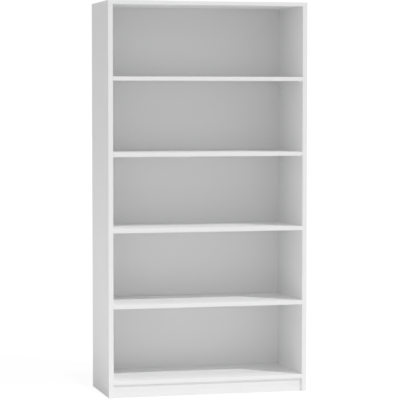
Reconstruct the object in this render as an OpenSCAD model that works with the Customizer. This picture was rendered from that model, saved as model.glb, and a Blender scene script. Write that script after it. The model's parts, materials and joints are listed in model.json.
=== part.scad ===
// Bookcase with adjustable shelves.
//
// Two side boards carry a full-width top. Between them stand a bottom over a slightly
// recessed plinth, one fixed shelf and three loose shelves on push-in supports. A thin back
// is nailed over the rear edges. Every visible front edge has a glued edging strip.
// Origin: centre of the footprint on the floor. +Z is up, the open front faces -Y.

/* [Case] */
// Width over the side boards
case_w = 956; // [700:1:1200]
// Depth from the front edging to the rear of the back
case_d = 395; // [300:1:500]
// Height from the floor to the top face
case_h = 1840; // [1450:1:2300]
// Thickness of the side boards
side_t = 22; // [18:0.1:28]
// Thickness of the top, bottom, shelf and plinth boards
board_t = 18; // [15:0.1:25]
// Thickness of the back
back_t = 3; // [2.5:0.1:6]
// How far the back stays inside the outline of the case
back_inset = 2; // [0.5:0.1:5]

/* [Edging] */
// Thickness of the edging strips
edging_t = 1; // [0.5:0.1:2]
// Radius on the outer corners of the edging strips
edging_r = 0.7; // [0.2:0.05:1.5]

/* [Plinth] */
// Height of the underside of the bottom above the floor
floor_gap = 64; // [54:1:120]
// Distance of the plinth behind the front edges
plinth_setback = 10; // [2:1:20]

/* [Adjustable shelves] */
// Vertical distance between neighbouring support holes
hole_pitch = 32; // [25:0.1:40]
// Spare support holes above and below the middle hole of each group
spare_holes = 2; // [1:1:2]
// Diameter of the support holes
hole_d = 5; // [4:0.1:7]
// Depth of the support holes
hole_depth = 11; // [8:0.1:13]
// Distance of the front support row from the front end of the side boards
row_setback = 37; // [25:1:70]
// Holes that the lower shelf stands above its middle hole
lower_shelf_shift = 0; // [-1:1:1]
// Holes that the middle shelf stands above its middle hole
middle_shelf_shift = 0; // [-1:1:1]
// Holes that the upper shelf stands above its middle hole
upper_shelf_shift = 0; // [-1:1:1]
// Gap between a loose shelf and each side board
shelf_side_gap = 0.5; // [0.3:0.1:2]
// Gap between a loose shelf and the back
shelf_back_gap = 3; // [1:0.5:20]

/* [Shelf supports] */
// Radial clearance of a support pin in its hole
pin_clearance = 0.05; // [0.01:0.01:0.1]
// Length of the support pin in the side board
pin_l = 9; // [6:0.1:11]
// Width of the support pad
pad_w = 12; // [8:0.1:18]
// Length of the support pad under the shelf
pad_l = 11; // [8:0.1:16]
// Thickness of the support pad and its wall plate
pad_t = 2; // [1.5:0.1:3]
// Height of the wall plate below the shelf
plate_h = 10; // [8:0.1:14]

/* [Cam fittings] */
// Diameter of the cam housings
cam_d = 15; // [12:0.1:18]
// Distance of a cam's centre from the joint
cam_setback = 34; // [24:0.1:40]
// Thread length of the cam bolts in the other board
thread_l = 11; // [8:0.1:12]
// Thread diameter of the cam bolts
thread_d = 5; // [4:0.1:6]
// Distance of the cam bolts from the front and rear ends of the boards
fitting_setback = 60; // [52:1:90]
// Distance between a cam bolt and its wooden dowel
dowel_offset = 32; // [20:1:40]
// Diameter of the wooden dowels
dowel_d = 8; // [6:0.1:10]
// Dowel length in the end of a board
dowel_end_l = 20; // [15:1:25]
// Dowel length in the face of a board
dowel_face_l = 11; // [8:0.1:12]
// Diameter of the cover caps
cap_d = 17; // [16:0.1:22]
// Thickness of the cover caps
cap_t = 1; // [0.6:0.1:2]

/* [Small hardware] */
// Height of the glides under the side boards
glide_h = 3; // [2:0.5:8]
// Diameter of the glides
glide_d = 18; // [14:0.5:18]
// Distance of the glides from the front and rear ends of the side boards
glide_setback = 30; // [15:1:60]
// Largest distance between nails in the back
nail_spacing = 150; // [80:5:250]
// Length of the nails
nail_l = 20; // [15:1:25]
// Shank diameter of the nails
nail_d = 1.6; // [1.2:0.1:2.5]
// Distance of the wall brackets from the centre of the top
bracket_x = 330; // [100:5:330]
// Width of a wall bracket
bracket_w = 24; // [20:1:40]
// Length of a wall bracket's leg on the top
bracket_l = 40; // [38:1:60]
// Height of a wall bracket's leg at the wall
bracket_h = 14; // [13:0.5:40]
// Sheet thickness of the wall brackets
bracket_t = 2; // [1.5:0.1:3]
// Diameter of the wall bracket's hole for the wall screw
wall_hole_d = 5; // [4:0.1:6]

/* [Hidden] */
$fn = 48;

WHITE = "#f1f1ef";
EDGE_WHITE = "#ececea";
BACK_WHITE = "#e6e5e2";
ZINC = "#b9bcc0";
BEECH = "#d9b98a";
PLASTIC = "#f6f6f4";

press_fit = 0.05;   // radial gap of a fastener that is driven into its own hole
cut_over = 1;       // how far a cutting shape runs past the face that it opens

// Planes of the case
inner_w = case_w - 2 * side_t;
y_front = -case_d / 2;
y_rear = case_d / 2;
y_board_front = y_front + edging_t;
y_board_rear = y_rear - back_t;
z_side_foot = glide_h;
z_bottom_top = floor_gap + board_t;
z_top_under = case_h - board_t;
y_plinth = y_front + plinth_setback;
plinth_board_h = floor_gap - z_side_foot - edging_t;

// Shelves: equal spaces, to the nearest support hole. Levels count from the bottom.
LOWER = 1;
FIXED = 2;
MIDDLE = 3;
UPPER = 4;
spaces = 5;
steps_per_space = round((z_top_under - z_bottom_top) / spaces / hole_pitch);
function level_z(level) = z_bottom_top + level * steps_per_space * hole_pitch;
z_fixed = level_z(FIXED);
z_lower = level_z(LOWER) + lower_shelf_shift * hole_pitch;
z_middle = level_z(MIDDLE) + middle_shelf_shift * hole_pitch;
z_upper = level_z(UPPER) + upper_shelf_shift * hole_pitch;

// Support rows, a whole number of hole pitches apart. A pad is flush with its hole's top.
FRONT = 0;
REAR = 1;
row_gap = round((y_board_rear - y_board_front - 2 * row_setback) / hole_pitch) * hole_pitch;
row_ys = [y_board_front + row_setback, y_board_front + row_setback + row_gap];
function support_z(shelf_top) = shelf_top - board_t - hole_d / 2;

// Fittings along the depth, from the front and rear ends of the boards
fitting_ys = [y_board_front + fitting_setback, y_board_rear - fitting_setback];
dowel_ys = [fitting_ys[FRONT] + dowel_offset, fitting_ys[REAR] - dowel_offset];
glide_ys = [y_board_front + glide_setback, y_board_rear - glide_setback];

// Cam fitting details
cam_below_axis = 4.5;      // cam body past the bolt's axis
cam_channel_d = 7.4;       // way in for the bolt's head
bolt_bore_d = 8;
bolt_shaft_d = 6;
bolt_neck_d = 3.8;
bolt_neck_l = 5;
bolt_head_d = 6.6;
bolt_head_l = 3;
drive_d = 6;
drive_depth = 2;
drive_slot_w = 1.6;
drive_slot_l = 10;
cap_stub_l = 1.6;
cap_stub_gap = 0.1;

// Plinth fittings
plinth_bolt_down = 20;     // below the underside of the bottom
plinth_dowel_up = 20;      // above the foot of the side boards, clear of the glide nails
y_plinth_mid = y_plinth + board_t / 2;

// Nails, glides and brackets
nail_head_d = 4.5;
nail_head_t = 0.8;
nail_end_gap = 45;         // first nail of a row from the end of its board
x_side_mid = case_w / 2 - side_t / 2;
glide_recess_d = 7;
glide_recess_depth = 1.4;
glide_nail_head_d = 6;
glide_nail_head_t = 0.9;
glide_nail_d = 2.2;
glide_nail_l = 15;
glide_round = 1;
bracket_screw_d = 3.5;
bracket_screw_head_d = 7;
bracket_screw_head_h = 2.2;
bracket_screw_l = 14;
bracket_screw_x = 6;       // each side of the bracket's middle
bracket_screw_y = 31;      // from the rear face, clear of the nails in the top's rear edge
bracket_hole_gap = 0.4;    // radial gap of a screw in its bracket
z_wall_hole = case_h + bracket_t + (bracket_h - bracket_t) / 2;

// ---- shared shapes ----

// The left half as drawn, and its mirror image on the right
module both_sides() {
    children();
    mirror([1, 0, 0]) children();
}

module box(low, high) {
    translate(low) cube(high - low);
}

// A cylinder along +X from the origin
module rod_x(d, l) {
    rotate([0, 90, 0]) cylinder(d = d, h = l);
}

// A cylinder along +Y from the origin
module rod_y(d, l) {
    rotate([-90, 0, 0]) cylinder(d = d, h = l);
}

// Cross-section of an edging strip on a board of thickness t: the glued face lies on
// x = 0, the strip grows towards -x, and its two outer corners are rounded.
module edging_section(t) {
    r = min(edging_r, edging_t);
    intersection() {
        translate([-edging_t, 0]) square([edging_t, t]);
        union() {
            translate([-edging_t + r, 0]) square([edging_t, t]);
            translate([-edging_t, r]) square([edging_t, t - 2 * r]);
            for (v = [r, t - r]) translate([-edging_t + r, v]) circle(r = r);
        }
    }
}

// Strip on the front of a flat board of length l: underside at z = 0, centred on x
module front_edging(l) {
    translate([l / 2, y_board_front, 0]) rotate([90, 0, -90]) linear_extrude(l)
        mirror([1, 0, 0]) edging_section(board_t);
}

// Evenly spaced places from -half to half, no further apart than the nail spacing
function nail_row(half) =
    let (n = ceil(2 * half / nail_spacing))
    [for (i = [0 : n]) -half + 2 * half * i / n];

// ---- cam fitting and dowel, in the frame of their joint ----
// The joint's plane is x = 0. The board with the cam lies on +x and opens at -z, with
// the bolt on its middle plane; the board with the bolt's thread lies on -x.

module cam(t) {
    cam_h = t / 2 + cam_below_axis;
    translate([cam_setback, 0, -t / 2]) difference() {
        cylinder(d = cam_d, h = cam_h);
        translate([0, 0, -cut_over]) cylinder(d = drive_d, h = cut_over + drive_depth);
        for (a = [45, 135]) rotate(a)
            translate([-drive_slot_l / 2, -drive_slot_w / 2, -cut_over])
                cube([drive_slot_l, drive_slot_w, cut_over + drive_depth]);
        translate([-cam_d, 0, t / 2]) rod_x(cam_channel_d, cam_d + bolt_head_l);
    }
}

module cam_bolt() {
    head_start = cam_setback - bolt_head_l / 2;
    rotate([0, 90, 0]) rotate_extrude() polygon([
        [0, -thread_l],
        [thread_d / 2 - 0.5, -thread_l],
        [thread_d / 2, -thread_l + 0.8],
        [thread_d / 2, 0],
        [bolt_shaft_d / 2, 0],
        [bolt_shaft_d / 2, head_start - bolt_neck_l],
        [bolt_neck_d / 2, head_start - bolt_neck_l],
        [bolt_neck_d / 2, head_start],
        [bolt_head_d / 2, head_start + 0.6],
        [bolt_head_d / 2, head_start + bolt_head_l - 0.6],
        [bolt_head_d / 2 - 0.6, head_start + bolt_head_l],
        [0, head_start + bolt_head_l]
    ]);
}

// Disc over the cam, with a stub in the cam's drive recess
module cam_cap(t) {
    translate([cam_setback, 0, -t / 2]) rotate_extrude() polygon([
        [0, -cap_t],
        [cap_d / 2 - cap_t / 2, -cap_t],
        [cap_d / 2, -cap_t / 2],
        [cap_d / 2, 0],
        [drive_d / 2 - cap_stub_gap, 0],
        [drive_d / 2 - cap_stub_gap, cap_stub_l],
        [0, cap_stub_l]
    ]);
}

module dowel() {
    chamfer = 1;
    rotate([0, 90, 0]) rotate_extrude() polygon([
        [0, -dowel_face_l],
        [dowel_d / 2 - chamfer, -dowel_face_l],
        [dowel_d / 2, -dowel_face_l + chamfer],
        [dowel_d / 2, dowel_end_l - chamfer],
        [dowel_d / 2 - chamfer, dowel_end_l],
        [0, dowel_end_l]
    ]);
}

// Cuts in the board with the cam
module cam_end_cuts(t) {
    translate([-cut_over, 0, 0]) rod_x(bolt_bore_d, cut_over + cam_setback);
    translate([cam_setback, 0, -t / 2 - cut_over])
        cylinder(d = cam_d + 2 * press_fit, h = cut_over + t / 2 + cam_below_axis);
}

module dowel_end_cut() {
    translate([-cut_over, 0, 0]) rod_x(dowel_d + 2 * press_fit, cut_over + dowel_end_l + 1);
}

// Cuts in the board with the thread
module thread_cut() {
    translate([-thread_l - 0.5, 0, 0])
        rod_x(thread_d + 2 * press_fit, thread_l + 0.5 + cut_over);
}

module dowel_face_cut() {
    translate([-dowel_face_l - 0.5, 0, 0])
        rod_x(dowel_d + 2 * press_fit, dowel_face_l + 0.5 + cut_over);
}

// ---- where the joints are, on the left half ----

// A board between the sides with its middle plane at height z
module at_between(z, ys) {
    for (y = ys) translate([-inner_w / 2, y, z]) children();
}

// The upper end of the left side board, under the top
module at_top_joint(ys) {
    for (y = ys) translate([-x_side_mid, y, z_top_under])
        rotate([0, 90, 0]) rotate([180, 0, 0]) children();
}

// The left end of the plinth board, whose cam opens to the rear
module at_plinth_joint(z) {
    translate([-inner_w / 2, y_plinth_mid, z]) rotate([90, 0, 0]) children();
}

z_bottom_mid = floor_gap + board_t / 2;
z_fixed_mid = z_fixed - board_t / 2;
z_plinth_bolt = floor_gap - plinth_bolt_down;
z_plinth_dowel = z_side_foot + plinth_dowel_up;

// ---- nails ----

back_z_low = floor_gap + back_inset;
back_z_high = case_h - back_inset;
side_nail_half = (back_z_high - back_z_low) / 2 - nail_end_gap;
cross_nail_half = inner_w / 2 - nail_end_gap;
cross_nail_zs = [z_bottom_mid, z_fixed_mid, case_h - board_t / 2];

// Every nail's place on the rear face of the back
module at_nails() {
    for (x = [-x_side_mid, x_side_mid], z = nail_row(side_nail_half))
        translate([x, y_rear, (back_z_low + back_z_high) / 2 + z]) children();
    for (z = cross_nail_zs, x = nail_row(cross_nail_half))
        translate([x, y_rear, z]) children();
}

module nail() {
    rotate([90, 0, 0]) rotate_extrude() polygon([
        [0, 0],
        [nail_head_d / 2, 0],
        [nail_head_d / 2, nail_head_t / 2],
        [nail_d / 2, nail_head_t],
        [nail_d / 2, nail_l - 2],
        [0, nail_l]
    ]);
}

module nail_cut() {
    translate([0, cut_over, 0]) rotate([90, 0, 0]) {
        cylinder(d = nail_d + 2 * press_fit, h = cut_over + nail_l + 0.5);
        cylinder(d = nail_head_d + 2 * press_fit, h = cut_over + nail_head_t);
    }
}

// ---- boards ----

module side_board() {
    difference() {
        box([-case_w / 2, y_board_front, z_side_foot],
            [-inner_w / 2, y_board_rear, z_top_under]);
        support_holes();
        at_between(z_bottom_mid, fitting_ys) thread_cut();
        at_between(z_bottom_mid, dowel_ys) dowel_face_cut();
        at_between(z_fixed_mid, fitting_ys) thread_cut();
        at_between(z_fixed_mid, dowel_ys) dowel_face_cut();
        at_plinth_joint(z_plinth_bolt) thread_cut();
        at_plinth_joint(z_plinth_dowel) dowel_face_cut();
        at_top_joint(fitting_ys) cam_end_cuts(side_t);
        at_top_joint(dowel_ys) dowel_end_cut();
        at_nails() nail_cut();
        for (y = glide_ys) translate([-x_side_mid, y, z_side_foot - cut_over])
            cylinder(d = glide_nail_d + 2 * press_fit, h = cut_over + glide_nail_l);
    }
}

// Rows of holes for the supports, in a group round each loose shelf
module support_holes() {
    for (level = [LOWER, MIDDLE, UPPER], i = [-spare_holes : spare_holes], y = row_ys)
        translate([-inner_w / 2 - hole_depth, y, support_z(level_z(level)) + i * hole_pitch])
            rod_x(hole_d, hole_depth + cut_over);
}

// A board fixed between the sides, with its upper face at height z
module between_board(z) {
    difference() {
        box([-inner_w / 2, y_board_front, z - board_t], [inner_w / 2, y_board_rear, z]);
        both_sides() {
            at_between(z - board_t / 2, fitting_ys) cam_end_cuts(board_t);
            at_between(z - board_t / 2, dowel_ys) dowel_end_cut();
        }
        at_nails() nail_cut();
    }
}

module loose_shelf(z) {
    half = inner_w / 2 - shelf_side_gap;
    color(WHITE) box([-half, y_board_front, z - board_t],
                     [half, y_board_rear - shelf_back_gap, z]);
}

module loose_shelf_edging(z) {
    color(EDGE_WHITE) translate([0, 0, z - board_t]) front_edging(inner_w - 2 * shelf_side_gap);
}

module left_side() {
    color(WHITE) side_board();
}

module right_side() {
    color(WHITE) mirror([1, 0, 0]) side_board();
}

module top_panel() {
    half = case_w / 2 - edging_t;
    color(WHITE) difference() {
        box([-half, y_board_front, z_top_under], [half, y_board_rear, case_h]);
        both_sides() {
            at_top_joint(fitting_ys) thread_cut();
            at_top_joint(dowel_ys) dowel_face_cut();
        }
        at_nails() nail_cut();
        at_bracket_screws() translate([0, 0, -bracket_screw_l - 0.5])
            cylinder(d = bracket_screw_d + 2 * press_fit, h = bracket_screw_l + 0.5 + cut_over);
    }
}

module bottom_panel() {
    color(WHITE) between_board(z_bottom_top);
}

module fixed_shelf() {
    color(WHITE) between_board(z_fixed);
}

module plinth_board() {
    color(WHITE) difference() {
        box([-inner_w / 2, y_plinth, floor_gap - plinth_board_h],
            [inner_w / 2, y_plinth + board_t, floor_gap]);
        both_sides() {
            at_plinth_joint(z_plinth_bolt) cam_end_cuts(board_t);
            at_plinth_joint(z_plinth_dowel) dowel_end_cut();
        }
    }
}

module back_panel() {
    color(BACK_WHITE) difference() {
        box([-case_w / 2 + back_inset, y_board_rear, back_z_low],
            [case_w / 2 - back_inset, y_rear, back_z_high]);
        at_nails() nail_cut();
    }
}

module lower_shelf() { loose_shelf(z_lower); }
module middle_shelf() { loose_shelf(z_middle); }
module upper_shelf() { loose_shelf(z_upper); }

// ---- edging ----

module side_edging() {
    translate([-inner_w / 2, y_board_front, z_side_foot]) linear_extrude(z_top_under - z_side_foot)
        rotate(90) edging_section(side_t);
}

module left_side_edging() {
    color(EDGE_WHITE) side_edging();
}

module right_side_edging() {
    color(EDGE_WHITE) mirror([1, 0, 0]) side_edging();
}

// Strips on the front and both ends of the top
module top_edging() {
    color(EDGE_WHITE) {
        translate([0, 0, z_top_under]) front_edging(case_w);
        both_sides() translate([-case_w / 2 + edging_t, y_board_rear, z_top_under])
            rotate([90, 0, 0]) linear_extrude(y_board_rear - y_board_front)
                edging_section(board_t);
    }
}

module bottom_edging() {
    color(EDGE_WHITE) translate([0, 0, floor_gap]) front_edging(inner_w);
}

module fixed_shelf_edging() {
    color(EDGE_WHITE) translate([0, 0, z_fixed - board_t]) front_edging(inner_w);
}

module lower_shelf_edging() { loose_shelf_edging(z_lower); }
module middle_shelf_edging() { loose_shelf_edging(z_middle); }
module upper_shelf_edging() { loose_shelf_edging(z_upper); }

// Strip under the plinth board
module plinth_edging() {
    color(EDGE_WHITE) translate([-inner_w / 2, y_plinth, floor_gap - plinth_board_h])
        rotate([0, 90, 0]) linear_extrude(inner_w)
            mirror([1, 0, 0]) edging_section(board_t);
}

// ---- cam fittings and dowels ----

module top_cams() {
    color(ZINC) both_sides() at_top_joint(fitting_ys) cam(side_t);
}

module bottom_cams() {
    color(ZINC) both_sides() at_between(z_bottom_mid, fitting_ys) cam(board_t);
}

module fixed_shelf_cams() {
    color(ZINC) both_sides() at_between(z_fixed_mid, fitting_ys) cam(board_t);
}

module plinth_cams() {
    color(ZINC) both_sides() at_plinth_joint(z_plinth_bolt) cam(board_t);
}

module top_cam_bolts() {
    color(ZINC) both_sides() at_top_joint(fitting_ys) cam_bolt();
}

module bottom_cam_bolts() {
    color(ZINC) both_sides() at_between(z_bottom_mid, fitting_ys) cam_bolt();
}

module fixed_shelf_cam_bolts() {
    color(ZINC) both_sides() at_between(z_fixed_mid, fitting_ys) cam_bolt();
}

module plinth_cam_bolts() {
    color(ZINC) both_sides() at_plinth_joint(z_plinth_bolt) cam_bolt();
}

module top_dowels() {
    color(BEECH) both_sides() at_top_joint(dowel_ys) dowel();
}

module bottom_dowels() {
    color(BEECH) both_sides() at_between(z_bottom_mid, dowel_ys) dowel();
}

module fixed_shelf_dowels() {
    color(BEECH) both_sides() at_between(z_fixed_mid, dowel_ys) dowel();
}

module plinth_dowels() {
    color(BEECH) both_sides() at_plinth_joint(z_plinth_dowel) dowel();
}

module top_cam_caps() {
    color(PLASTIC) both_sides() at_top_joint(fitting_ys) cam_cap(side_t);
}

module fixed_shelf_cam_caps() {
    color(PLASTIC) both_sides() at_between(z_fixed_mid, fitting_ys) cam_cap(board_t);
}

// ---- shelf supports ----

// A support in the left side board: the pin runs along -x from the board's inner face,
// and the pad under the shelf reaches to +x with its upper face at z = hole_d / 2.
module support() {
    pad_round = 4;
    pin_d = hole_d - 2 * pin_clearance;
    pin_tip = 0.6;
    rib_t = 2;
    color(PLASTIC) union() {
        translate([-pin_l + pin_tip, 0, 0]) rod_x(pin_d, pin_l - pin_tip + pad_t / 2);
        translate([-pin_l, 0, 0]) rotate([0, 90, 0])
            cylinder(d1 = pin_d - 2 * pin_tip, d2 = pin_d, h = pin_tip);
        translate([0, -pad_w / 2, hole_d / 2 - plate_h]) cube([pad_t, pad_w, plate_h]);
        translate([0, 0, hole_d / 2 - pad_t]) linear_extrude(pad_t) {
            translate([0, -pad_w / 2]) square([pad_l - pad_round, pad_w]);
            translate([0, -pad_w / 2 + pad_round]) square([pad_l, pad_w - 2 * pad_round]);
            for (s = [-1, 1])
                translate([pad_l - pad_round, s * (pad_w / 2 - pad_round)]) circle(r = pad_round);
        }
        translate([0, rib_t / 2, 0]) rotate([90, 0, 0]) linear_extrude(rib_t) polygon([
            [pad_t / 2, hole_d / 2 - pad_t / 2],
            [pad_l - 2, hole_d / 2 - pad_t / 2],
            [pad_l - 2, hole_d / 2 - pad_t - 0.5],
            [pad_t, hole_d / 2 - plate_h + 1],
            [pad_t / 2, hole_d / 2 - plate_h + 1]
        ]);
    }
}

module left_support(shelf_top, row) {
    translate([-inner_w / 2, row_ys[row], support_z(shelf_top)]) support();
}

module right_support(shelf_top, row) {
    mirror([1, 0, 0]) left_support(shelf_top, row);
}

module lower_support_front_left() { left_support(z_lower, FRONT); }
module lower_support_front_right() { right_support(z_lower, FRONT); }
module lower_support_rear_left() { left_support(z_lower, REAR); }
module lower_support_rear_right() { right_support(z_lower, REAR); }
module middle_support_front_left() { left_support(z_middle, FRONT); }
module middle_support_front_right() { right_support(z_middle, FRONT); }
module middle_support_rear_left() { left_support(z_middle, REAR); }
module middle_support_rear_right() { right_support(z_middle, REAR); }
module upper_support_front_left() { left_support(z_upper, FRONT); }
module upper_support_front_right() { right_support(z_upper, FRONT); }
module upper_support_rear_left() { left_support(z_upper, REAR); }
module upper_support_rear_right() { right_support(z_upper, REAR); }

// ---- small hardware ----

module back_nails() {
    color(ZINC) at_nails() nail();
}

// Discs nailed under the side boards, with a rounded lower rim
module glides() {
    color(PLASTIC) both_sides() for (y = glide_ys) translate([-x_side_mid, y, 0]) difference() {
        rotate_extrude() {
            square([glide_d / 2 - glide_round, glide_h]);
            translate([0, glide_round]) square([glide_d / 2, glide_h - glide_round]);
            translate([glide_d / 2 - glide_round, glide_round]) circle(r = glide_round);
        }
        translate([0, 0, -cut_over]) {
            cylinder(d = glide_recess_d, h = cut_over + glide_recess_depth);
            cylinder(d = glide_nail_d + 2 * press_fit, h = cut_over + glide_h + cut_over);
        }
    }
}

module glide_nails() {
    z_head = glide_recess_depth - glide_nail_head_t;
    color(ZINC) both_sides() for (y = glide_ys) translate([-x_side_mid, y, 0])
        rotate_extrude() polygon([
            [0, z_head],
            [glide_nail_head_d / 2, z_head],
            [glide_nail_head_d / 2, glide_recess_depth],
            [glide_nail_d / 2, glide_recess_depth],
            [glide_nail_d / 2, z_side_foot + glide_nail_l - 3],
            [0, z_side_foot + glide_nail_l - 1]
        ]);
}

// Places of the bracket screws on the top
module at_bracket_screws() {
    both_sides() for (dx = [-bracket_screw_x, bracket_screw_x])
        translate([-bracket_x + dx, y_rear - bracket_screw_y, case_h]) children();
}

// Angles at the rear of the top, for screws into the wall
module wall_brackets() {
    color(ZINC) difference() {
        both_sides() translate([-bracket_x - bracket_w / 2, y_rear - bracket_l, case_h]) {
            cube([bracket_w, bracket_l, bracket_t]);
            translate([0, bracket_l - bracket_t, 0]) cube([bracket_w, bracket_t, bracket_h]);
        }
        at_bracket_screws() translate([0, 0, -cut_over])
            cylinder(d = bracket_screw_d + 2 * bracket_hole_gap, h = bracket_t + 2 * cut_over);
        both_sides() translate([-bracket_x, y_rear - bracket_t - cut_over, z_wall_hole])
            rod_y(wall_hole_d, bracket_t + 2 * cut_over);
    }
}

module wall_bracket_screws() {
    slot_w = 1;
    slot_depth = 1;
    color(ZINC) at_bracket_screws() translate([0, 0, bracket_t]) difference() {
        rotate_extrude() polygon([
            [0, bracket_screw_head_h],
            [bracket_screw_head_d / 2 - 0.8, bracket_screw_head_h],
            [bracket_screw_head_d / 2, bracket_screw_head_h - 0.8],
            [bracket_screw_head_d / 2, 0],
            [bracket_screw_d / 2, 0],
            [bracket_screw_d / 2, -bracket_screw_l + 2],
            [0, -bracket_screw_l]
        ]);
        for (a = [0, 90]) rotate(a)
            translate([-2, -slot_w / 2, bracket_screw_head_h - slot_depth])
                cube([4, slot_w, slot_depth + cut_over]);
    }
}

left_side();
right_side();
top_panel();
bottom_panel();
plinth_board();
back_panel();
fixed_shelf();
lower_shelf();
middle_shelf();
upper_shelf();
left_side_edging();
right_side_edging();
top_edging();
bottom_edging();
plinth_edging();
fixed_shelf_edging();
lower_shelf_edging();
middle_shelf_edging();
upper_shelf_edging();
top_cams();
bottom_cams();
fixed_shelf_cams();
plinth_cams();
top_cam_bolts();
bottom_cam_bolts();
fixed_shelf_cam_bolts();
plinth_cam_bolts();
top_dowels();
bottom_dowels();
fixed_shelf_dowels();
plinth_dowels();
top_cam_caps();
fixed_shelf_cam_caps();
lower_support_front_left();
lower_support_front_right();
lower_support_rear_left();
lower_support_rear_right();
middle_support_front_left();
middle_support_front_right();
middle_support_rear_left();
middle_support_rear_right();
upper_support_front_left();
upper_support_front_right();
upper_support_rear_left();
upper_support_rear_right();
back_nails();
glides();
glide_nails();
wall_brackets();
wall_bracket_screws();
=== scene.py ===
"""Looks of the bookcase: materials, floor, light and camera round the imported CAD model.

Every piece of the bookcase is a CAD node that keeps its mesh. This script gives each node
a procedural material, in metres and in the CAD frame: +Z up, the open front faces -Y.
"""
import json
import math

import bpy
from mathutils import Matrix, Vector


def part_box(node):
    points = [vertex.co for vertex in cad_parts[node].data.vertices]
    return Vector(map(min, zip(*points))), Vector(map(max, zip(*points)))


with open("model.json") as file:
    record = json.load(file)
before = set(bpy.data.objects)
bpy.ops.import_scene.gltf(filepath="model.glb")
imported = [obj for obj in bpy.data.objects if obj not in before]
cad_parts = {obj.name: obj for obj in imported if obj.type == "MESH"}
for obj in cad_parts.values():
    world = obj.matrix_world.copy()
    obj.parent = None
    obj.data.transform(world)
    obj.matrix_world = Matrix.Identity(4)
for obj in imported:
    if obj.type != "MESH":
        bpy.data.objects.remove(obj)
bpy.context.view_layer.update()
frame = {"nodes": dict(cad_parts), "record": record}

MM = 0.001


# ---- node helpers ----

class Shader:
    """A material under construction: its node tree, its Principled shader and coordinates."""

    def __init__(self, name):
        self.material = bpy.data.materials.new(name)
        self.material.use_nodes = True
        self.tree = self.material.node_tree
        self.bsdf = self.tree.nodes["Principled BSDF"]
        self.position = self.node("ShaderNodeTexCoord").outputs["Object"]

    def node(self, kind, **settings):
        """A new node of this kind with these settings."""
        made = self.tree.nodes.new(kind)
        for key, value in settings.items():
            setattr(made, key, value)
        return made

    def put(self, target, value):
        """Links a socket, or sets a plain number or colour."""
        if isinstance(value, bpy.types.NodeSocket):
            self.tree.links.new(value, target)
        else:
            target.default_value = value

    def set(self, **inputs):
        """Values or sockets for the Principled shader, with _ for a space in a name."""
        for key, value in inputs.items():
            self.put(self.bsdf.inputs[key.replace("_", " ")], value)

    def math(self, operation, a, b=0.0, c=0.0):
        """The result of a Math node on sockets or numbers."""
        made = self.node("ShaderNodeMath", operation=operation)
        for target, value in zip(made.inputs, (a, b, c)):
            self.put(target, value)
        return made.outputs[0]

    def stretched(self, scale):
        """The position in metres, scaled along each axis."""
        made = self.node("ShaderNodeMapping")
        self.put(made.inputs["Vector"], self.position)
        made.inputs["Scale"].default_value = scale
        return made.outputs["Vector"]

    def along(self, axis):
        """One coordinate of the position: 0 for x, 1 for y, 2 for z."""
        made = self.node("ShaderNodeSeparateXYZ")
        self.put(made.inputs[0], self.position)
        return made.outputs[axis]

    def noise(self, size, detail=2.0, roughness=0.5, vector=None):
        """Noise from 0 to 1 whose features are about this size, in metres."""
        made = self.node("ShaderNodeTexNoise")
        self.put(made.inputs["Vector"], vector or self.position)
        made.inputs["Scale"].default_value = 1 / size
        made.inputs["Detail"].default_value = detail
        made.inputs["Roughness"].default_value = roughness
        return made.outputs["Fac"]

    def cells(self, size, vector):
        """Voronoi cells of about this size: their distance and their random colour."""
        made = self.node("ShaderNodeTexVoronoi")
        self.put(made.inputs["Vector"], vector)
        made.inputs["Scale"].default_value = 1 / size
        return made.outputs["Distance"], made.outputs["Color"]

    def spread(self, value, low, high, from_low=0.0, from_high=1.0):
        """The value moved from one range to another."""
        made = self.node("ShaderNodeMapRange")
        inputs = made.inputs
        for key, number in (("Value", value), ("From Min", from_low), ("From Max", from_high),
                            ("To Min", low), ("To Max", high)):
            self.put(inputs[key], number)
        return made.outputs["Result"]

    def ramp(self, value, *stops):
        """A colour ramp through (position, colour) stops."""
        made = self.node("ShaderNodeValToRGB")
        self.put(made.inputs["Fac"], value)
        elements = made.color_ramp.elements
        while len(elements) < len(stops):
            elements.new(0.5)
        for element, (place, colour) in zip(elements, stops):
            element.position = place
            element.color = (*colour, 1.0)
        return made.outputs["Color"]

    def mix(self, factor, a, b):
        """A colour between a and b."""
        made = self.node("ShaderNodeMix", data_type="RGBA")
        for key, value in (("Factor_Float", factor), ("A_Color", a), ("B_Color", b)):
            target = next(s for s in made.inputs if s.identifier == key)
            if isinstance(value, tuple) and len(value) == 3:
                value = (*value, 1.0)
            self.put(target, value)
        return next(s for s in made.outputs if s.identifier == "Result_Color")

    def blend(self, factor, a, b):
        """A number between a and b."""
        made = self.node("ShaderNodeMix", data_type="FLOAT")
        for key, value in (("Factor_Float", factor), ("A_Float", a), ("B_Float", b)):
            self.put(next(s for s in made.inputs if s.identifier == key), value)
        return next(s for s in made.outputs if s.identifier == "Result_Float")

    def bump(self, height, depth, strength=1.0):
        """Relief of this depth in metres on the Principled shader's normal."""
        made = self.node("ShaderNodeBump")
        made.inputs["Distance"].default_value = depth
        made.inputs["Strength"].default_value = strength
        self.put(made.inputs["Height"], height)
        self.put(self.bsdf.inputs["Normal"], made.outputs["Normal"])


def beyond_box(shader, low, high):
    """How far the position lies outside a box in metres, below 0 inside it."""
    gaps = []
    for axis in range(3):
        centre = (low[axis] + high[axis]) / 2
        offset = shader.math("ABSOLUTE", shader.math("SUBTRACT", shader.along(axis), centre))
        gaps.append(shader.math("SUBTRACT", offset, (high[axis] - low[axis]) / 2))
    return shader.math("MAXIMUM", gaps[0], shader.math("MAXIMUM", gaps[1], gaps[2]))


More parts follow.
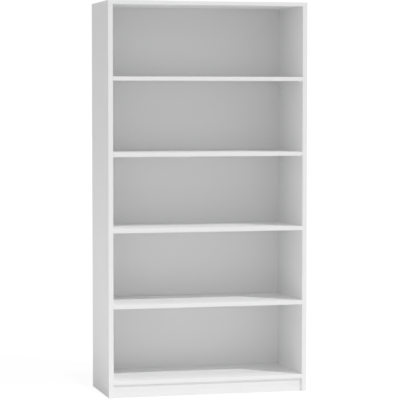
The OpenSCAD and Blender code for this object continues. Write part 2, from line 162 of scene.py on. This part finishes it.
def inside(shader, axis, low, high):
    """1 where the position lies between two planes across an axis, else 0."""
    place = shader.along(axis)
    above = shader.math("GREATER_THAN", place, low)
    below = shader.math("LESS_THAN", place, high)
    return shader.math("MULTIPLY", above, below)


# ---- surfaces ----

# Colours are linear. A pair gives the two ends of a slow drift over the surface.
MELAMINE = (0.815, 0.818, 0.817), (0.835, 0.838, 0.836)
EDGING = (0.828, 0.830, 0.826), (0.842, 0.844, 0.840)
LACQUER = (0.800, 0.803, 0.802), (0.822, 0.825, 0.823)
MOULDED_WHITE = (0.820, 0.820, 0.805), (0.850, 0.850, 0.840)
ZINC = (0.42, 0.43, 0.45), (0.52, 0.53, 0.55)
PLATED_STEEL = (0.44, 0.45, 0.47), (0.60, 0.61, 0.62)
GLUE = (0.42, 0.39, 0.33)
FLAKE_DARK = (0.33, 0.21, 0.11)
FLAKE = (0.62, 0.46, 0.28)
FLAKE_LIGHT = (0.74, 0.60, 0.41)
FIBRE_DARK = (0.27, 0.170, 0.098)
FIBRE = (0.36, 0.240, 0.147)
FIBRE_LIGHT = (0.43, 0.300, 0.193)
BEECH_DARK = (0.46, 0.29, 0.15)
BEECH_LIGHT = (0.70, 0.50, 0.31)
BEECH_FLECK = (0.30, 0.17, 0.08)

# Thicknesses of thin layers
FILM_T = 0.25 * MM
GLUE_T = 0.12 * MM
LACQUER_T = 0.20 * MM


def pearl(shader):
    """Height of the pressed pearl grain of melamine: flat-topped grains with fine pores."""
    grain = shader.noise(1.4 * MM, detail=3.0, roughness=0.55)
    pores = shader.noise(0.35 * MM, detail=1.0)
    return shader.math("MULTIPLY_ADD", pores, 0.25, shader.spread(grain, 0.0, 1.0, 0.35, 0.65))


def chipboard(shader, axis):
    """Colour and height of sawn chipboard: flakes lying flat across an axis, gaps between."""
    flattened = [1.0, 1.0, 1.0]
    flattened[axis] = 2.8
    distance, flake = shader.cells(2.6 * MM, shader.stretched(flattened))
    fine = shader.noise(0.7 * MM, detail=4.0, roughness=0.7)
    tone = shader.node("ShaderNodeSeparateColor")
    shader.put(tone.inputs[0], flake)
    wood = shader.ramp(tone.outputs[0], (0.0, FLAKE_DARK), (0.35, FLAKE), (0.9, FLAKE_LIGHT))
    gaps = shader.spread(fine, 0.0, 1.0, 0.30, 0.42)
    colour = shader.mix(gaps, FLAKE_DARK, wood)
    height = shader.math("MULTIPLY_ADD", distance, -0.6, gaps)
    return colour, height


def board_material(name, axis, low, high):
    """A melamine-faced chipboard whose faces lie on two planes across an axis."""
    shader = Shader(name)
    core = inside(shader, axis, low + FILM_T, high - FILM_T)
    cloud = shader.noise(0.35, detail=3.0)
    face = shader.mix(cloud, *MELAMINE)
    chips, chip_height = chipboard(shader, axis)
    relief = pearl(shader)
    shader.set(
        Base_Color=shader.mix(core, face, chips),
        Roughness=shader.blend(core, shader.spread(relief, 0.40, 0.52), 0.92),
        Specular_IOR_Level=0.3,
    )
    face_height = shader.math("MULTIPLY", relief, 0.2)
    shader.bump(shader.blend(core, face_height, chip_height), 0.3 * MM, 0.7)
    return shader.material


def edging_material(name, board_low, board_high):
    """Extruded plastic edging on a board: smoother than the board, with a thin line of glue."""
    shader = Shader(name)
    cloud = shader.noise(0.25, detail=2.0)
    orange_peel = shader.noise(1.6 * MM, detail=1.0)
    plastic = shader.mix(cloud, *EDGING)
    glue = shader.math("LESS_THAN", beyond_box(shader, board_low, board_high), GLUE_T)
    shader.set(
        Base_Color=shader.mix(glue, plastic, GLUE),
        Roughness=shader.spread(orange_peel, 0.30, 0.40),
        Specular_IOR_Level=0.4,
    )
    shader.bump(orange_peel, 0.03 * MM, 0.5)
    return shader.material


def fibres(shader, angle):
    """Short fibres lying one way in the plane of the back, from 0 between them to 1 on them."""
    turned = shader.node("ShaderNodeMapping")
    shader.put(turned.inputs["Vector"], shader.position)
    turned.inputs["Rotation"].default_value = (0.0, math.radians(angle), 0.0)
    turned.inputs["Scale"].default_value = (0.12, 1.0, 1.0)
    return shader.noise(0.45 * MM, detail=3.0, roughness=0.6, vector=turned.outputs["Vector"])


def fibreboard_material(front):
    """Thin fibreboard: white lacquer on the front plane, bare brown fibre behind it."""
    shader = Shader("fibreboard")
    bare = shader.math("GREATER_THAN", shader.along(1), front + LACQUER_T)
    cloud = shader.noise(0.4, detail=3.0)
    white = shader.mix(cloud, *LACQUER)
    felt = fibres(shader, 20)
    for angle in (80, 140):
        felt = shader.math("MAXIMUM", felt, fibres(shader, angle))
    dust = shader.noise(0.25 * MM, detail=2.0)
    patches = shader.noise(0.12, detail=5.0, roughness=0.7)
    tone = shader.math("MULTIPLY_ADD", felt, 0.62, shader.math("MULTIPLY", dust, 0.20))
    tone = shader.math("MULTIPLY_ADD", patches, 0.18, tone)
    brown = shader.ramp(tone, (0.44, FIBRE_DARK), (0.54, FIBRE), (0.66, FIBRE_LIGHT))
    shader.set(
        Base_Color=shader.mix(bare, white, brown),
        Roughness=shader.blend(bare, shader.spread(felt, 0.38, 0.46), 0.85),
        Specular_IOR_Level=0.4,
    )
    lacquer_height = shader.math("MULTIPLY", felt, 0.1)
    shader.bump(shader.blend(bare, lacquer_height, felt), 0.08 * MM, 0.5)
    return shader.material


def metal_material(name, colours, roughness, grain, relief):
    """A plated or cast metal: grain sets the size of its texture and relief its depth."""
    shader = Shader(name)
    fine = shader.noise(grain, detail=4.0, roughness=0.6)
    stain = shader.noise(6 * MM, detail=3.0)
    shader.set(
        Base_Color=shader.mix(stain, *colours),
        Metallic=1.0,
        Roughness=shader.spread(fine, *roughness),
    )
    shader.bump(fine, relief, 0.5)
    return shader.material


def beech_material():
    """Turned beech: fine lengthwise grain with short dark flecks."""
    shader = Shader("beech")
    grain = shader.noise(0.8 * MM, detail=4.0, vector=shader.stretched((0.12, 1.0, 1.0)))
    flecks = shader.noise(0.5 * MM, detail=1.0, vector=shader.stretched((0.3, 1.0, 1.0)))
    wood = shader.ramp(grain, (0.30, BEECH_DARK), (0.70, BEECH_LIGHT))
    on_fleck = shader.spread(flecks, 1.0, 0.0, 0.28, 0.36)
    shader.set(
        Base_Color=shader.mix(on_fleck, wood, BEECH_FLECK),
        Roughness=shader.spread(grain, 0.55, 0.7),
    )
    shader.bump(grain, 0.1 * MM, 0.6)
    return shader.material


def plastic_material():
    """Moulded white plastic with a fine spark-eroded texture."""
    shader = Shader("white_plastic")
    spark = shader.noise(0.25 * MM, detail=3.0)
    flow = shader.noise(8 * MM, detail=2.0)
    shader.set(
        Base_Color=shader.mix(flow, *MOULDED_WHITE),
        Roughness=shader.spread(spark, 0.34, 0.5),
    )
    shader.bump(spark, 0.03 * MM, 0.5)
    return shader.material


# ---- each node's material ----

ACROSS_X, ACROSS_Y, ACROSS_Z = 0, 1, 2
BOARD_FACES = {
    "left_side": ACROSS_X, "right_side": ACROSS_X,
    "plinth_board": ACROSS_Y,
    "top_panel": ACROSS_Z, "bottom_panel": ACROSS_Z, "fixed_shelf": ACROSS_Z,
    "lower_shelf": ACROSS_Z, "middle_shelf": ACROSS_Z, "upper_shelf": ACROSS_Z,
}
EDGING_BOARDS = {
    "left_side_edging": "left_side", "right_side_edging": "right_side",
    "top_edging": "top_panel", "bottom_edging": "bottom_panel", "plinth_edging": "plinth_board",
    "fixed_shelf_edging": "fixed_shelf", "lower_shelf_edging": "lower_shelf",
    "middle_shelf_edging": "middle_shelf", "upper_shelf_edging": "upper_shelf",
}


def shared_materials():
    """The materials of the slots that look the same on all their pieces."""
    return {
        "fibreboard": fibreboard_material(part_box("back_panel")[0].y),
        "zinc": metal_material("zinc", ZINC, (0.42, 0.60), 0.4 * MM, 0.05 * MM),
        "plated_steel": metal_material("plated_steel", PLATED_STEEL, (0.24, 0.36),
                                       0.6 * MM, 0.008 * MM),
        "beech": beech_material(),
        "white_plastic": plastic_material(),
    }


def dress():
    """Gives every CAD node its material."""
    slots = {row["node"]: row["material_slot"] for row in frame["record"]["subparts"]}
    shared = shared_materials()
    for name, node in frame["nodes"].items():
        if name in BOARD_FACES:
            axis = BOARD_FACES[name]
            low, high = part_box(name)
            material = board_material("melamine_" + name, axis, low[axis], high[axis])
        elif name in EDGING_BOARDS:
            material = edging_material(name, *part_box(EDGING_BOARDS[name]))
        else:
            material = shared[slots[name]]
        node.data.materials.clear()
        node.data.materials.append(material)


# ---- floor, light and camera ----

def sheet(name, low, high, height=0.0):
    """A level rectangle between two (x, y) corners, part of the stage."""
    mesh = bpy.data.meshes.new(name)
    corners = [(low[0], low[1], height), (high[0], low[1], height),
               (high[0], high[1], height), (low[0], high[1], height)]
    mesh.from_pydata(corners, [], [(0, 1, 2, 3)])
    made = bpy.data.objects.new(name, mesh)
    bpy.context.scene.collection.objects.link(made)
    return made


def floor_material(name, grey, glow):
    """Matt paint of this grey with a slight mottle, and a glow of its own."""
    drift = 0.005
    shader = Shader(name)
    mottle = shader.noise(2.0, detail=2.0)
    shader.set(
        Base_Color=shader.mix(mottle, (grey - drift,) * 3, (grey + drift,) * 3),
        Roughness=0.9,
        Specular_IOR_Level=0.0,
        Emission_Color=(1.0, 1.0, 1.0, 1.0),
        Emission_Strength=glow,
    )
    return shader.material


def make_floor():
    """The floor is white to the eye. Just under it, unseen, one dimmer sheet bounces the
    light, and a grey card beside the case keeps the foot of its left side in soft shade."""
    floor = sheet("floor", (-60.0, -60.0), (60.0, 60.0))
    floor.data.materials.append(floor_material("floor", grey=0.36, glow=0.80))
    floor.visible_diffuse = False
    floor.visible_glossy = False
    floor.visible_shadow = False
    bounce = sheet("floor_bounce", (-2.5, -2.5), (2.5, 2.5), -1.0 * MM)
    bounce.data.materials.append(floor_material("floor_bounce", grey=0.85, glow=0.06))
    bounce.visible_camera = False
    low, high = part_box("left_side")
    card_width, card_past_rear = 0.35, 0.1
    card = sheet("floor_card", (low.x - card_width, low.y), (low.x, high.y + card_past_rear),
                 -0.5 * MM)
    card.data.materials.append(floor_material("floor_card", grey=0.48, glow=0.0))
    card.visible_camera = False


def make_world(light, backdrop):
    """Even white light from all round, in front of a white backdrop."""
    world = bpy.data.worlds.new("studio")
    bpy.context.scene.world = world
    world.use_nodes = True
    tree = world.node_tree
    path = tree.nodes.new("ShaderNodeLightPath")
    mix = tree.nodes.new("ShaderNodeMixShader")
    tree.links.new(path.outputs["Is Camera Ray"], mix.inputs["Fac"])
    for source, strength in ((1, light), (2, backdrop)):
        background = tree.nodes.new("ShaderNodeBackground")
        background.inputs["Color"].default_value = (1.0, 1.0, 1.0, 1.0)
        background.inputs["Strength"].default_value = strength
        tree.links.new(background.outputs[0], mix.inputs[source])
    tree.links.new(mix.outputs[0], tree.nodes["World Output"].inputs["Surface"])


def make_lamp(name, azimuth, elevation, strength, softness):
    """A distant lamp. Azimuth 0 stands in front of the case and 90 on its right."""
    lamp = bpy.data.lights.new(name, "SUN")
    lamp.energy = strength
    lamp.angle = math.radians(softness)
    made = bpy.data.objects.new(name, lamp)
    a, e = math.radians(azimuth), math.radians(elevation)
    towards = Vector((math.sin(a) * math.cos(e), -math.cos(a) * math.cos(e), math.sin(e)))
    made.rotation_mode = "QUATERNION"
    made.rotation_quaternion = towards.to_track_quat("Z", "Y")
    bpy.context.scene.collection.objects.link(made)


def make_side_panel(name, distance, height, size, power):
    """A square lamp that faces the left side of the case and lights nothing else of it."""
    panel = bpy.data.lights.new(name, "AREA")
    panel.shape = "SQUARE"
    panel.size = size
    panel.energy = power
    made = bpy.data.objects.new(name, panel)
    made.location = (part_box("left_side")[0].x - distance, 0.0, height)
    made.rotation_euler = (0.0, math.radians(-90), 0.0)
    made.visible_camera = False
    bpy.context.scene.collection.objects.link(made)


def make_camera(place, heading, tilt, lens):
    """A camera turned right by the heading and down by the tilt, in degrees."""
    data = bpy.data.cameras.new("camera")
    data.sensor_width = 36.0
    data.lens = lens
    data.clip_end = 200.0
    camera = bpy.data.objects.new("camera", data)
    camera.location = place
    camera.rotation_euler = (math.radians(90 - tilt), 0.0, math.radians(-heading))
    bpy.context.scene.collection.objects.link(camera)
    bpy.context.scene.camera = camera


def soften_highlights():
    """Bends the brightness x to 2x / (1 + x), which keeps detail in white boards."""
    view = bpy.context.scene.view_settings
    view.view_transform = "Standard"
    view.use_curve_mapping = True
    combined = 3
    curve = view.curve_mapping.curves[combined]
    steps = 10
    for step in range(1, steps):
        x = step / steps
        curve.points.new(x, 2 * x / (1 + x))
    view.curve_mapping.update()


dress()
make_floor()
make_world(light=0.385, backdrop=1.05)
make_lamp("key", azimuth=44, elevation=44, strength=1.52, softness=0.8)
make_lamp("overhead", azimuth=5, elevation=75, strength=0.34, softness=1.5)
make_lamp("fill", azimuth=-50, elevation=30, strength=0.17, softness=50)
make_side_panel("side_panel", distance=0.7, height=0.6, size=0.6, power=0.5)
make_camera(place=(-2.207, -8.701, 1.388), heading=14.275, tilt=3.073, lens=169.75)
soften_highlights()
